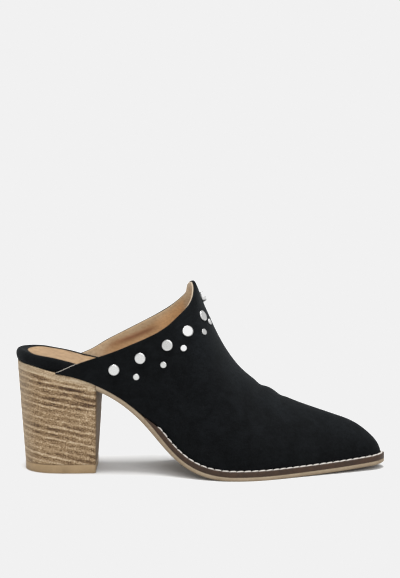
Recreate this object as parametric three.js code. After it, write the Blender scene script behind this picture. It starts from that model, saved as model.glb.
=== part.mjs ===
// A right-foot block-heel mule with a pointed toe: outsole, welt, stacked heel with its top piece, padded insole, a hollow
// upper open at the back and under the foot, and round metal studs along the topline.
// Millimetres. x runs forward from the back of the heel, y across with the outer side negative, z up from the floor.

import * as THREE from "three";
import { mergeVertices } from "three/addons/utils/BufferGeometryUtils.js";

const LENGTH = 248; // back of the heel seat to the tip of the welt
const GAP = 0.3; // between pieces that meet
const OUTSOLE = { waist: 3.2, forepart: 2.6 }; // thicknesses of the bottom's layers
const WELT = 3.2;
const TOP_PIECE = 5.8;
const WALL = 2; // suede and lining together
const BREAST = 55.5; // front face of the heel at its top
const OUTER = -1; // sides of the shoe, as the sign of y
const INNER = 1;

// Underside of the sole along the shoe, from the heel seat down the arch to the tread, which lies flat on the floor.
const ARCH = [
  { x: 0, z: 70.9 },
  { x: 20, z: 67.9 },
  { x: 38, z: 63.3 },
  { x: 56, z: 56.0 },
  { x: 74, z: 44.8 },
  { x: 87, z: 32.6 },
  { x: 101, z: 17.2 },
  { x: 113, z: 7.6 },
  { x: 124, z: 2.8 },
  { x: 134, z: 0.8 },
  { x: 146, z: 0 },
];
const TREAD_BACK = 146;
const TREAD_FRONT = 160;
const TOE_SPRING = 3.9; // lift of the sole at its tip

// Half widths of the sole's outline on each side of the line from heel centre to toe tip.
const OUTLINE = [
  { x: 0, outer: 0, inner: 0 },
  { x: 6, outer: 16.8, inner: 16.8 },
  { x: 14, outer: 23.4, inner: 23.4 },
  { x: 25, outer: 26.6, inner: 26.6 },
  { x: 40, outer: 27.0, inner: 26.8 },
  { x: 56, outer: 26.0, inner: 24.8 },
  { x: 75, outer: 24.8, inner: 21.6 },
  { x: 90, outer: 26.6, inner: 21.0 },
  { x: 104, outer: 33.0, inner: 24.6 },
  { x: 118, outer: 40.2, inner: 30.0 },
  { x: 132, outer: 46.0, inner: 34.6 },
  { x: 146, outer: 48.0, inner: 36.9 },
  { x: 162, outer: 45.9, inner: 37.2 },
  { x: 180, outer: 38.8, inner: 34.4 },
  { x: 200, outer: 30.0, inner: 28.4 },
  { x: 220, outer: 21.6, inner: 20.8 },
  { x: 234, outer: 15.4, inner: 14.8 },
  { x: 242, outer: 11.0, inner: 10.6 },
  { x: LENGTH, outer: 0, inner: 0 },
];

// Sections of the last. ridge: height of the ridge line, which runs on above the topline where the upper is open.
// lean: the ridge's shift to the inner side. bulge: how far the flank swells past the feather edge. flank and crown: how full
// the side and the top of the section are, as shares of its height and half width.
const LAST = [
  { x: 26, ridge: 208, lean: 0, bulge: 1.0, flank: 0.5, crown: 0.66 },
  { x: 60, ridge: 198, lean: 1, bulge: 3.0, flank: 0.5, crown: 0.65 },
  { x: 90, ridge: 174, lean: 2, bulge: 7.0, flank: 0.5, crown: 0.6 },
  { x: 106, ridge: 151.5, lean: 2.5, bulge: 6.5, flank: 0.5, crown: 0.56 },
  { x: 119.4, ridge: 125.3, lean: 3, bulge: 5.5, flank: 0.49, crown: 0.53 },
  { x: 127, ridge: 108.7, lean: 3, bulge: 5.0, flank: 0.48, crown: 0.52 },
  { x: 135, ridge: 91.2, lean: 3, bulge: 4.6, flank: 0.48, crown: 0.52 },
  { x: 145, ridge: 74.7, lean: 3, bulge: 4.2, flank: 0.48, crown: 0.52 },
  { x: 156, ridge: 62.8, lean: 3, bulge: 3.8, flank: 0.49, crown: 0.53 },
  { x: 172, ridge: 51.9, lean: 2.5, bulge: 3.2, flank: 0.5, crown: 0.53 },
  { x: 192, ridge: 43.6, lean: 1.6, bulge: 2.4, flank: 0.52, crown: 0.52 },
  { x: 213, ridge: 36.5, lean: 0.8, bulge: 1.6, flank: 0.54, crown: 0.5 },
  { x: 228, ridge: 30.2, lean: 0.3, bulge: 1.0, flank: 0.55, crown: 0.5 },
  { x: 238, ridge: 22.6, lean: 0.1, bulge: 0.5, flank: 0.55, crown: 0.5 },
];

// The topline from the rear tip of each quarter up to the peak over the instep.
const PEAK = { x: 119.1, z: 125.9 };
const TOPLINE = {
  [OUTER]: [
    { x: 27.8, z: 70.4 },
    { x: 36.7, z: 73.1 },
    { x: 43, z: 75.1 },
    { x: 50.8, z: 77.5 },
    { x: 60, z: 80.3 },
    { x: 71.8, z: 84.7 },
    { x: 83.7, z: 89.9 },
    { x: 91.6, z: 93.6 },
    { x: 97.6, z: 96.8 },
    { x: 103.5, z: 101.2 },
    { x: 107.4, z: 104.9 },
    { x: 111.4, z: 108.4 },
    { x: 114.8, z: 111.6 },
    { x: 117.3, z: 114.6 },
    { x: 118.9, z: 117.6 },
    { x: 119.6, z: 120.5 },
    { x: 119.8, z: 123.3 },
    PEAK,
  ],
  [INNER]: [
    { x: 30, z: 70.8 },
    { x: 43, z: 74.6 },
    { x: 50, z: 77.6 },
    { x: 58.2, z: 82.6 },
    { x: 66.4, z: 87.2 },
    { x: 74.6, z: 91.5 },
    { x: 86.9, z: 98.0 },
    { x: 95.1, z: 102.4 },
    { x: 103.3, z: 107.7 },
    { x: 107.7, z: 111.2 },
    { x: 111, z: 114.1 },
    { x: 113.4, z: 116.5 },
    { x: 114.8, z: 119.2 },
    { x: 115.4, z: 122.0 },
    { x: 116.1, z: 123.9 },
    { x: 117.5, z: 125.4 },
    PEAK,
  ],
};

// Stacked heel: how far its sides and back draw in on the way down, as a share of HEEL_TAPER.
const HEEL_TAPER = { back: 4.9, side: 4.6, breast: 1.6 };
const HEEL_LEVELS = [
  { up: 0, drawn: 1 },
  { up: 0.15, drawn: 0.82 },
  { up: 0.35, drawn: 0.6 },
  { up: 0.65, drawn: 0.32 },
  { up: 0.86, drawn: 0.1 },
  { up: 1, drawn: 0 },
];
const HEEL_INSET = 1.2; // the padded seat overhangs the heel by this much

// Padded insole: its edge from the underside up, as insets from its outline at shares of its thickness.
const INSOLE_EDGE = [
  { up: 0, inset: 1.1 },
  { up: 0.28, inset: 0.2 },
  { up: 0.58, inset: 0 },
  { up: 0.85, inset: 0.9 },
  { up: 1, inset: 3 },
];
const SEAT_PAD = 7.7; // insole thickness at the heel and under the ball
const FOREPART_PAD = 4;

// Studs, by place on the outer side; the same rows are mirrored to the inner side, raised with its topline.
const LARGE_STUD = { radius: 3.7, height: 1.3 };
const SMALL_STUD = { radius: 2.15, height: 1 };
const LARGE_ROW = [
  { x: 66.4, z: 70.5 },
  { x: 83.8, z: 78.3 },
  { x: 101.7, z: 87.1 },
  { x: 115, z: 96.2 },
  { x: 125, z: 104.6 },
];
const SMALL_ROW = [
  { x: 81.2, z: 65.9 },
  { x: 99.2, z: 74.3 },
  { x: 112.4, z: 85.4 },
  { x: 125.7, z: 94.8 },
  { x: 129.4, z: 99.9 },
];
const RIDGE_STUD_X = 124.2;
const STUD_GAP = 0.5;

// ---- curves ----

// The natural cubic spline through [x, y] points, with a set slope at its last point if one is given.
function spline(points, lastSlope = null) {
  const n = points.length - 1;
  const step = (i) => points[i + 1][0] - points[i][0];
  const slope = (i) => (points[i + 1][1] - points[i][1]) / step(i);
  const over = [0];
  const bend = [0];
  for (let i = 1; i <= n; i++) {
    const last = i === n;
    if (last && lastSlope === null) {
      bend.push(0);
      break;
    }
    const before = step(i - 1);
    const diagonal = last ? 2 * before : 2 * (before + step(i));
    const right = 6 * ((last ? lastSlope : slope(i)) - slope(i - 1));
    const pivot = diagonal - before * over[i - 1];
    over.push(last ? 0 : step(i) / pivot);
    bend.push((right - before * bend[i - 1]) / pivot);
  }
  for (let i = n - 1; i > 0; i--) bend[i] -= over[i] * bend[i + 1];
  return (x) => {
    let i = 0;
    while (i < n - 1 && x > points[i + 1][0]) i++;
    const h = step(i);
    const a = (points[i + 1][0] - x) / h;
    const b = 1 - a;
    const curved = ((a ** 3 - a) * bend[i] + (b ** 3 - b) * bend[i + 1]) * (h * h) / 6;
    return a * points[i][1] + b * points[i + 1][1] + curved;
  };
}

const column = (rows, name, lastSlope) => spline(rows.map((r) => [r.x, r[name]]), lastSlope);
const slopeOf = (f, x) => (f(x + 0.05) - f(x - 0.05)) / 0.1;
const mix = (a, b, share) => a + (b - a) * share;

function ease(from, to, x) {
  const s = Math.min(1, Math.max(0, (x - from) / (to - from)));
  return s * s * (3 - 2 * s);
}

// ---- bottom ----

const arch = column(ARCH, "z", 0);
const springRun = LENGTH - TREAD_FRONT;
const springRadius = (springRun ** 2 + TOE_SPRING ** 2) / (2 * TOE_SPRING);

function underside(x) {
  if (x < TREAD_BACK) return arch(x);
  if (x < TREAD_FRONT) return 0;
  return springRadius - Math.sqrt(springRadius ** 2 - (x - TREAD_FRONT) ** 2);
}

// Height of the layer that lies h above the sole's underside, measured square to it.
const level = (x, h) => underside(x) + h * Math.hypot(1, slopeOf(underside, x));

const outsoleThickness = (x) => mix(OUTSOLE.waist, OUTSOLE.forepart, ease(90, 112, x));
const weltThickness = (x) => 0.5 + (WELT - 0.5) * ease(86, 99, x);
const WELT_START = 87;
// How far inside the sole's outline the upper meets the bottom, and at what height above its underside.
const featherInset = (x) => 0.3 + 2.7 * ease(84, 101, x);
const featherHeight = (x) => outsoleThickness(x) + 0.45 + (weltThickness(x) + GAP) * ease(80, 86, x);

// The squares of the half widths are what the curves run through, so that the heel and the toe close round.
const widthSquare = {
  [OUTER]: spline(OUTLINE.map((r) => [r.x, r.outer ** 2])),
  [INNER]: spline(OUTLINE.map((r) => [r.x, r.inner ** 2])),
};

// A point of the sole's outline on one side, moved in by inset square to the outline.
function outline(side, x, inset = 0) {
  const y = Math.sqrt(Math.max(0, widthSquare[side](x)));
  const normal = new THREE.Vector2(-slopeOf(widthSquare[side], x), 2 * y).normalize();
  return { x: x - normal.x * inset, y: side * Math.max(0, y - normal.y * inset) };
}

// Stations from one x to another, closer together towards an end where the outline closes round.
function stations(from, to, count) {
  const roundBack = from === 0;
  const roundFront = to === LENGTH;
  return Array.from({ length: count + 1 }, (_, i) => {
    const s = i / count;
    if (roundBack && roundFront) return mix(from, to, (1 - Math.cos(Math.PI * s)) / 2);
    if (roundBack) return mix(from, to, 1 - Math.cos((Math.PI / 2) * s));
    if (roundFront) return mix(from, to, Math.sin((Math.PI / 2) * s));
    return mix(from, to, s);
  });
}

// ---- solids ----

// A closed solid skinned over rings of points; a ring that has shrunk to an edge closes its end by itself.
function skin(rings) {
  const size = rings[0].length;
  const index = [];
  for (let r = 0; r + 1 < rings.length; r++) {
    for (let k = 0; k < size; k++) {
      const a = r * size + k;
      const b = r * size + ((k + 1) % size);
      index.push(a, b, b + size, a, b + size, a + size);
    }
  }
  const end = (rings.length - 1) * size;
  for (let k = 1; k + 1 < size; k++) {
    index.push(0, k + 1, k);
    index.push(end, end + k, end + k + 1);
  }
  return closed(rings.flat(), index);
}

// Geometry of a point list and triangles, with points in one place merged and triangles without area dropped.
function closed(points, index) {
  const geometry = new THREE.BufferGeometry().setFromPoints(points);
  geometry.setIndex(index);
  const merged = mergeVertices(geometry, 1e-4);
  const whole = [];
  const corners = merged.index.array;
  for (let i = 0; i < corners.length; i += 3) {
    const [a, b, c] = corners.slice(i, i + 3);
    if (a !== b && b !== c && c !== a) whole.push(a, b, c);
  }
  merged.setIndex(whole);
  merged.computeVertexNormals();
  return merged;
}

// A layer of the bottom: edge rows give its side from the underside up, low and high its heights above the sole's underside.
function layer(xs, insetAt, lowAt, highAt, edge) {
  const rings = xs.map((x) => {
    const side = (which) =>
      edge.map((row) => {
        const p = outline(which, x, insetAt(x) + row.inset);
        return new THREE.Vector3(p.x, p.y, level(p.x, mix(lowAt(p.x), highAt(p.x), row.up)));
      });
    return [...side(OUTER).reverse(), ...side(INNER)];
  });
  return skin(rings);
}

const SQUARE_EDGE = [
  { up: 0, inset: 0 },
  { up: 1, inset: 0 },
];

function makeOutsole() {
  return layer(stations(BREAST + 2 * GAP, LENGTH, 60), () => 0, () => 0, outsoleThickness, SQUARE_EDGE);
}

const weltWidth = (x) => featherInset(x) + WALL - 0.3;

// The welt is a strip round the forepart, from the waist on one side round the toe to the waist on the other.
function makeWelt() {
  const xs = stations(WELT_START, LENGTH, 48);
  const corner = (side, x, inset, top) => {
    const p = outline(side, x, inset);
    const h = outsoleThickness(p.x) + GAP + (top ? weltThickness(p.x) : 0);
    return new THREE.Vector3(p.x, p.y, level(p.x, h));
  };
  const ring = (side, x) => [
    corner(side, x, 0, false),
    corner(side, x, weltWidth(x), false),
    corner(side, x, weltWidth(x), true),
    corner(side, x, 0, true),
  ];
  const round = xs.map((x) => ring(OUTER, x));
  round.push(...xs.slice(0, -1).reverse().map((x) => ring(INNER, x)));
  return skin(round);
}

const insoleInset = (x) => mix(0.2, featherInset(x) + WALL + GAP, ease(14, 28, x));
const insoleTop = (x) => outsoleThickness(x) + GAP + mix(SEAT_PAD, FOREPART_PAD, ease(58, 112, x));

function makeInsole() {
  return layer(stations(0, LENGTH, 60), insoleInset, (x) => outsoleThickness(x) + GAP, insoleTop, INSOLE_EDGE);
}

// One ring of the heel at a station: up the outer side and down the inner side.
function heelPoint(side, x, row) {
  const top = outline(side, x, HEEL_INSET);
  const along = (BREAST - top.x) / BREAST;
  const drawn = HEEL_TAPER.back * along - HEEL_TAPER.breast * (1 - along);
  return new THREE.Vector3(
    top.x + drawn * row.drawn,
    top.y * (1 - (HEEL_TAPER.side * row.drawn) / 26),
    mix(TOP_PIECE + GAP, level(top.x, outsoleThickness(top.x)), row.up),
  );
}

function makeHeel() {
  const rings = stations(0, BREAST, 20).map((x) => [
    ...HEEL_LEVELS.map((row) => heelPoint(OUTER, x, row)).reverse(),
    ...HEEL_LEVELS.map((row) => heelPoint(INNER, x, row)),
  ]);
  return skin(rings);
}

function makeTopPiece() {
  const foot = HEEL_LEVELS[0];
  const corner = (side, x, z) => heelPoint(side, x, foot).setZ(z);
  const rings = stations(0, BREAST, 20).map((x) => [
    corner(OUTER, x, TOP_PIECE),
    corner(OUTER, x, 0),
    corner(INNER, x, 0),
    corner(INNER, x, TOP_PIECE),
  ]);
  return skin(rings);
}

// ---- upper ----

const FEATHER_TIP = LENGTH - featherInset(LENGTH);

// Half width of the feather edge at x on one side, looked up between close points of the inset outline.
const featherTable = Object.fromEntries(
  [OUTER, INNER].map((side) => [
    side,
    stations(0, LENGTH, 600).map((x) => outline(side, x, featherInset(x))),
  ]),
);

function featherHalf(side, x) {
  const table = featherTable[side];
  let low = 0;
  let high = table.length - 1;
  while (high - low > 1) {
    const middle = (low + high) >> 1;
    if (table[middle].x <= x) low = middle;
    else high = middle;
  }
  const a = table[low];
  const b = table[high];
  const share = Math.min(1, Math.max(0, (x - a.x) / (b.x - a.x)));
  return Math.sqrt(mix(a.y ** 2, b.y ** 2, share));
}

const feather = (x) => level(x, featherHeight(x));
const riseSquare = spline([
  ...LAST.map((r) => [r.x, (r.ridge - feather(r.x)) ** 2]),
  [FEATHER_TIP, 0],
]);
const lean = column(LAST, "lean");
const bulge = column(LAST, "bulge");
const flank = column(LAST, "flank");
const crown = column(LAST, "crown");
const LAST_FRONT = LAST[LAST.length - 1].x;

// A point of the last's surface: t runs from 0 at the feather edge up the side and over to 1 on the ridge.
function lastPoint(side, x, t) {
  const half = featherHalf(side, x);
  const rise = Math.sqrt(Math.max(0, riseSquare(x)));
  const row = Math.min(x, LAST_FRONT);
  const swell = bulge(row) * Math.min(1, half / 12);
  const ridgeY = lean(row) * Math.min(1, half / 12);
  const [b0, b1, b2, b3] = [(1 - t) ** 3, 3 * (1 - t) ** 2 * t, 3 * (1 - t) * t * t, t ** 3];
  const y = b0 * half + b1 * (half + swell) + b2 * crown(row) * half;
  const z = rise * (b1 * flank(row) + b2 + b3);
  return new THREE.Vector3(x, side * y + ridgeY * (b2 + b3), feather(x) + z);
}

// The section's t at height z.
function tAtHeight(side, x, z) {
  let low = 0;
  let high = 1;
  for (let i = 0; i < 40; i++) {
    const middle = (low + high) / 2;
    if (lastPoint(side, x, middle).z < z) low = middle;
    else high = middle;
  }
  return (low + high) / 2;
}

// A smooth path through rows of x and z, by the share of its length.
function path(rows) {
  const along = [0];
  rows.slice(1).forEach((r, i) => along.push(along[i] + Math.hypot(r.x - rows[i].x, r.z - rows[i].z)));
  const total = along[along.length - 1];
  const x = spline(rows.map((r, i) => [along[i], r.x]));
  const z = spline(rows.map((r, i) => [along[i], r.z]));
  return (share) => ({ x: x(share * total), z: z(share * total) });
}

const topline = { [OUTER]: path(TOPLINE[OUTER]), [INNER]: path(TOPLINE[INNER]) };

const AROUND = 32; // steps of the upper's net from a quarter's rear tip to the ridge, and from feather edge to topline
const UPWARD = 20;
const FINE = 240; // steps that a line of the net is measured in
const FOOT_CROWDING = 1.25; // how much closer together the rows lie at the feather edge than at the topline
const TOE_CROWDING = 1.25; // how much closer together the lines lie at the toe and the peak than at the quarters

// One line of the upper's net, from the feather edge at share u of the way to the toe, up and over to the topline.
function netLine(side, u) {
  const rear = TOPLINE[side][0].x;
  const foot = mix(rear, FEATHER_TIP, 1 - (1 - u ** 1.2) ** 1.25);
  const head = topline[side](u);
  const headT = u === 1 ? 1 : tAtHeight(side, head.x, head.z);
  const fine = [];
  for (let k = 0; k <= FINE; k++) {
    const v = (k / FINE) ** 2.5;
    fine.push(lastPoint(side, mix(foot, head.x, v), headT * v ** (1 - u)));
  }
  return spaced(fine, UPWARD);
}

// Points along a polyline, by its length.
function spaced(points, count) {
  const along = [0];
  points.slice(1).forEach((p, i) => along.push(along[i] + p.distanceTo(points[i])));
  const total = along[along.length - 1];
  const picked = [];
  let k = 0;
  for (let j = 0; j <= count; j++) {
    const wanted = total * (j / count) ** FOOT_CROWDING;
    while (k < points.length - 2 && along[k + 1] < wanted) k++;
    const share = (wanted - along[k]) / (along[k + 1] - along[k]);
    picked.push(points[k].clone().lerp(points[k + 1], Math.min(1, share)));
  }
  return picked;
}

// Normals of a net of points, from the two diagonals of the cells round each point.
function netNormals(net) {
  const rows = net.length - 1;
  const columns = net[0].length - 1;
  return net.map((line, i) =>
    line.map((_, j) => {
      const [i0, i1] = [Math.max(0, i - 1), Math.min(rows, i + 1)];
      const [j0, j1] = [Math.max(0, j - 1), Math.min(columns, j + 1)];
      const along = net[i1][j].clone().sub(net[i0][j]);
      const up = net[i][j1].clone().sub(net[i][j0]);
      return along.cross(up).normalize();
    }),
  );
}

// The upper: a wall between the last's outside and its inside, closed by a rim along the topline, the feather edge and the
// quarters' rear tips.
function makeUpper() {
  const shares = Array.from({ length: AROUND + 1 }, (_, i) => 1 - (1 - i / AROUND) ** TOE_CROWDING);
  const outside = [
    ...shares.map((u) => netLine(OUTER, u)),
    ...shares.slice(0, -1).reverse().map((u) => netLine(INNER, u)),
  ];
  const normals = netNormals(outside);
  const inside = outside.map((line, i) =>
    line.map((p, j) => {
      const inward = normals[i][j].clone();
      if (j > 0) return p.clone().addScaledVector(inward, -WALL);
      inward.setZ(0).normalize();
      const q = p.clone().addScaledVector(inward, -WALL);
      return q.setZ(feather(q.x));
    }),
  );
  const across = UPWARD + 1;
  const count = outside.length * across;
  const out = (i, j) => i * across + j;
  const inn = (i, j) => count + i * across + j;
  const index = [];
  const quad = (a, b, c, d) => index.push(a, b, c, a, c, d);
  const last = outside.length - 1;
  for (let i = 0; i < last; i++) {
    for (let j = 0; j < UPWARD; j++) {
      quad(out(i, j), out(i + 1, j), out(i + 1, j + 1), out(i, j + 1));
      quad(inn(i, j), inn(i, j + 1), inn(i + 1, j + 1), inn(i + 1, j));
    }
    quad(out(i, 0), inn(i, 0), inn(i + 1, 0), out(i + 1, 0));
    quad(out(i, UPWARD), out(i + 1, UPWARD), inn(i + 1, UPWARD), inn(i, UPWARD));
  }
  for (let j = 0; j < UPWARD; j++) {
    quad(out(0, j), out(0, j + 1), inn(0, j + 1), inn(0, j));
    quad(out(last, j), inn(last, j), inn(last, j + 1), out(last, j + 1));
  }
  return closed([...outside.flat(), ...inside.flat()], index);
}

// ---- studs ----

function studGeometry({ radius, height }) {
  const profile = [
    [0, 0],
    [0.96, 0],
    [1, 0.35],
    [0.84, 0.8],
    [0.5, 0.96],
    [0, 1],
  ];
  return new THREE.LatheGeometry(
    profile.map(([r, h]) => new THREE.Vector2(r * radius, h * height)),
    14,
  );
}

function studMesh(name, size, side, x, t) {
  const step = 0.01;
  const point = lastPoint(side, x, t);
  const ahead = lastPoint(side, x + 0.5, t).sub(lastPoint(side, x - 0.5, t));
  const upward = lastPoint(side, x, Math.min(1, t + step)).sub(lastPoint(side, x, t - step));
  const normal = ahead.cross(upward).multiplyScalar(side === OUTER ? 1 : -1).normalize();
  const mesh = new THREE.Mesh(studGeometry(size), metal);
  mesh.name = name;
  mesh.quaternion.setFromUnitVectors(new THREE.Vector3(0, 1, 0), normal);
  mesh.position.copy(point).addScaledVector(normal, STUD_GAP);
  return mesh;
}

// How much higher the inner topline is than the outer one at x.
function innerLift(x) {
  const heightAt = (side) => {
    let low = 0;
    let high = 1;
    for (let i = 0; i < 30; i++) {
      const middle = (low + high) / 2;
      if (topline[side](middle).x < x) low = middle;
      else high = middle;
    }
    return topline[side](low).z;
  };
  return x < PEAK.x ? heightAt(INNER) - heightAt(OUTER) : 0;
}

function makeStuds() {
  const studs = [studMesh("stud_ridge", LARGE_STUD, OUTER, RIDGE_STUD_X, 1)];
  const rows = { large: [LARGE_ROW, LARGE_STUD], small: [SMALL_ROW, SMALL_STUD] };
  for (const [size, [row, stud]] of Object.entries(rows)) {
    row.forEach(({ x, z }, i) => {
      for (const [side, word] of [[OUTER, "outer"], [INNER, "inner"]]) {
        const height = side === OUTER ? z : z + innerLift(x);
        const t = tAtHeight(side, x, height);
        studs.push(studMesh(`stud_${size}_${word}_${i + 1}`, stud, side, x, t));
      }
    });
  }
  return studs;
}

// ---- the shoe ----

const metal = new THREE.MeshStandardMaterial({ color: 0xd9d9d4, roughness: 0.3, metalness: 1 });
const suede = new THREE.MeshStandardMaterial({ color: 0x15171a, roughness: 0.95, metalness: 0 });
const soleLeather = new THREE.MeshStandardMaterial({ color: 0xa5896a, roughness: 0.6, metalness: 0 });
const weltLeather = new THREE.MeshStandardMaterial({ color: 0x4a3226, roughness: 0.55, metalness: 0 });
const stackedLeather = new THREE.MeshStandardMaterial({ color: 0xa58867, roughness: 0.6, metalness: 0 });
const liftRubber = new THREE.MeshStandardMaterial({ color: 0xa5845f, roughness: 0.6, metalness: 0 });

const shoe = new THREE.Group();
const pieces = [
  ["outsole", makeOutsole(), soleLeather],
  ["welt", makeWelt(), weltLeather],
  ["insole", makeInsole(), suede],
  ["heel", makeHeel(), stackedLeather],
  ["top_piece", makeTopPiece(), liftRubber],
  ["upper", makeUpper(), suede],
];
for (const [name, geometry, material] of pieces) {
  const mesh = new THREE.Mesh(geometry, material);
  mesh.name = name;
  shoe.add(mesh);
}
shoe.add(...makeStuds());

// The origin is on the floor at the middle of the shoe's length and width.
const widest = (name) => Math.max(...OUTLINE.map((row) => row[name]));
shoe.position.set(-LENGTH / 2, (widest("outer") - widest("inner")) / 2, 0);

const part = new THREE.Group();
part.add(shoe);
export default part;
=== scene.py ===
import math

import bmesh
import bpy
import numpy as np
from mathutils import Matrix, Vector


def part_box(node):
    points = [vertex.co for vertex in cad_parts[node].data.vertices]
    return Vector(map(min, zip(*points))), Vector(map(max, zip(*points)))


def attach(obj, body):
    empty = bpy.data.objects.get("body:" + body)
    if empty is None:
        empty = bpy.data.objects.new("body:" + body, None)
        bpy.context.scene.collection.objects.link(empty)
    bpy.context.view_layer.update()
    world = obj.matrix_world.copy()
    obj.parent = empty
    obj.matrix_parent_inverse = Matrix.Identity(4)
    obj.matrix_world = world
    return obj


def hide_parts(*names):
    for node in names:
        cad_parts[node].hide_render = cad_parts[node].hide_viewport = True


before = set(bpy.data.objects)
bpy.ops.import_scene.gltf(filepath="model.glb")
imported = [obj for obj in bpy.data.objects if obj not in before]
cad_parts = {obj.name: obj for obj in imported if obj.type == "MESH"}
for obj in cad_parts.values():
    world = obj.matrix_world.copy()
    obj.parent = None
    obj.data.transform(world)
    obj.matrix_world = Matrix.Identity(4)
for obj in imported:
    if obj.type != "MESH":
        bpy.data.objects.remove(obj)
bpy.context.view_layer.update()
print("frame loaded:", len(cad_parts), "nodes")

# lengths are in millimetres: x from the back of the heel, y across, z from the floor
outer, inner = -1, 1
length = 248.0

sole = {
    "thickness": {"waist": 3.2, "forepart": 2.6},
    "weltThickness": 3.2,
    "gap": 0.3,
    "treadBack": 146.0,
    "treadFront": 160.0,
    "toeSpring": 3.9,
    "arch": [(0, 70.9), (20, 67.9), (38, 63.3), (56, 56.0), (74, 44.8), (87, 32.6), (101, 17.2), (113, 7.6),
        (124, 2.8), (134, 0.8), (146, 0)],
    "outline": [  # x, half width to the outer side, half width to the inner side
        (0, 0, 0), (6, 16.8, 16.8), (14, 23.4, 23.4), (25, 26.6, 26.6), (40, 27.0, 26.8), (56, 26.0, 24.8),
        (75, 24.8, 21.6), (90, 26.6, 21.0), (104, 33.0, 24.6), (118, 40.2, 30.0), (132, 46.0, 34.6),
        (146, 48.0, 36.9), (162, 45.9, 37.2), (180, 38.8, 34.4), (200, 30.0, 28.4), (220, 21.6, 20.8),
        (234, 15.4, 14.8), (242, 11.0, 10.6), (248, 0, 0),
    ],
}

last = {
    "wall": 2.0,
    "peak": (119.1, 125.9),
    # x, ridge height, its lean, bulge of the flank, fullness of the flank, fullness of the crown
    "sections": [
        (26, 208, 0, 1.0, 0.5, 0.66), (60, 198, 1, 3.0, 0.5, 0.65), (90, 174, 2, 7.0, 0.5, 0.6),
        (106, 151.5, 2.5, 6.5, 0.5, 0.56), (119.4, 125.3, 3, 5.5, 0.49, 0.53),
        (127, 108.7, 3, 5.0, 0.48, 0.52), (135, 91.2, 3, 4.6, 0.48, 0.52), (145, 74.7, 3, 4.2, 0.48, 0.52),
        (156, 62.8, 3, 3.8, 0.49, 0.53), (172, 51.9, 2.5, 3.2, 0.5, 0.53),
        (192, 43.6, 1.6, 2.4, 0.52, 0.52), (213, 36.5, 0.8, 1.6, 0.54, 0.5),
        (228, 30.2, 0.3, 1.0, 0.55, 0.5), (238, 22.6, 0.1, 0.5, 0.55, 0.5),
    ],
    "outerTopline": [
        (27.8, 70.4), (36.7, 73.1), (43, 75.1), (50.8, 77.5), (60, 80.3), (71.8, 84.7), (83.7, 89.9),
        (91.6, 93.6), (97.6, 96.8), (103.5, 101.2), (107.4, 104.9), (111.4, 108.4), (114.8, 111.6),
        (117.3, 114.6), (118.9, 117.6), (119.6, 120.5), (119.8, 123.3),
    ],
    "innerTopline": [
        (30, 70.8), (43, 74.6), (50, 77.6), (58.2, 82.6), (66.4, 87.2), (74.6, 91.5), (86.9, 98.0),
        (95.1, 102.4), (103.3, 107.7), (107.7, 111.2), (111, 114.1), (113.4, 116.5), (114.8, 119.2),
        (115.4, 122.0), (116.1, 123.9), (117.5, 125.4),
    ],
}


class Curve:  # natural cubic spline, with a set slope at its end if one is given
    def __init__(self, xs, ys, endSlope=None):
        xs, ys = np.array(xs, float), np.array(ys, float)
        h = np.diff(xs)
        slopes = np.diff(ys) / h
        count = len(xs)
        system, right = np.eye(count), np.zeros(count)
        for i in range(1, count - 1):
            system[i, i - 1:i + 2] = h[i - 1], 2 * (h[i - 1] + h[i]), h[i]
            right[i] = 6 * (slopes[i] - slopes[i - 1])
        if endSlope is not None:
            system[-1, -2:] = h[-1], 2 * h[-1]
            right[-1] = 6 * (endSlope - slopes[-1])
        self.xs, self.ys, self.bends = xs, ys, np.linalg.solve(system, right)

    def __call__(self, x):
        x = np.asarray(x, float)
        i = np.clip(np.searchsorted(self.xs, x) - 1, 0, len(self.xs) - 2)
        h = self.xs[i + 1] - self.xs[i]
        a = (self.xs[i + 1] - x) / h
        b = 1 - a
        bent = ((a**3 - a) * self.bends[i] + (b**3 - b) * self.bends[i + 1]) * h * h / 6
        return a * self.ys[i] + b * self.ys[i + 1] + bent


def ease(start, end, x):
    s = np.clip((np.asarray(x, float) - start) / (end - start), 0, 1)
    return s * s * (3 - 2 * s)


def tabled(table, x):
    return np.interp(x, *np.array(table).T)


def mix(a, b, share):
    return a + (b - a) * share


def slopeOf(curve, x):
    return (curve(x + 0.05) - curve(x - 0.05)) / 0.1


archCurve = Curve(*zip(*sole["arch"]), endSlope=0)
springRun = length - sole["treadFront"]
springRadius = (springRun**2 + sole["toeSpring"]**2) / (2 * sole["toeSpring"])
outlineX = [row[0] for row in sole["outline"]]
widthSquare = {
    side: Curve(outlineX, [row[k]**2 for row in sole["outline"]]) for side, k in ((outer, 1), (inner, 2))
}


def underside(x):  # height of the sole's underside
    x = np.asarray(x, float)
    spring = springRadius - np.sqrt(np.maximum(springRadius**2 - (x - sole["treadFront"])**2, 0))
    return np.where(x < sole["treadBack"], archCurve(x), np.where(x < sole["treadFront"], 0, spring))


def level(x, h):  # height of what lies h above the underside, square to it
    return underside(x) + h * np.hypot(1, slopeOf(underside, x))


def outline(side, x, inset=0.0):  # a point of the sole's outline, moved in by inset
    y = np.sqrt(np.maximum(0, widthSquare[side](x)))
    nx, ny = -slopeOf(widthSquare[side], x), 2 * y
    size = np.hypot(nx, ny)
    return x - nx / size * inset, side * np.maximum(0, y - ny / size * inset)


def stations(start, end, count):  # closer together where the outline closes round
    s = np.linspace(0, 1, count + 1)
    if start == 0 and end == length:
        return mix(start, end, (1 - np.cos(np.pi * s)) / 2)
    if start == 0:
        return mix(start, end, 1 - np.cos(np.pi / 2 * s))
    return mix(start, end, np.sin(np.pi / 2 * s)) if end == length else mix(start, end, s)


def weltHeight(x):
    return 0.5 + (sole["weltThickness"] - 0.5) * ease(86, 99, x)


def featherInset(x):
    return 0.3 + 2.7 * ease(84, 101, x)


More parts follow.
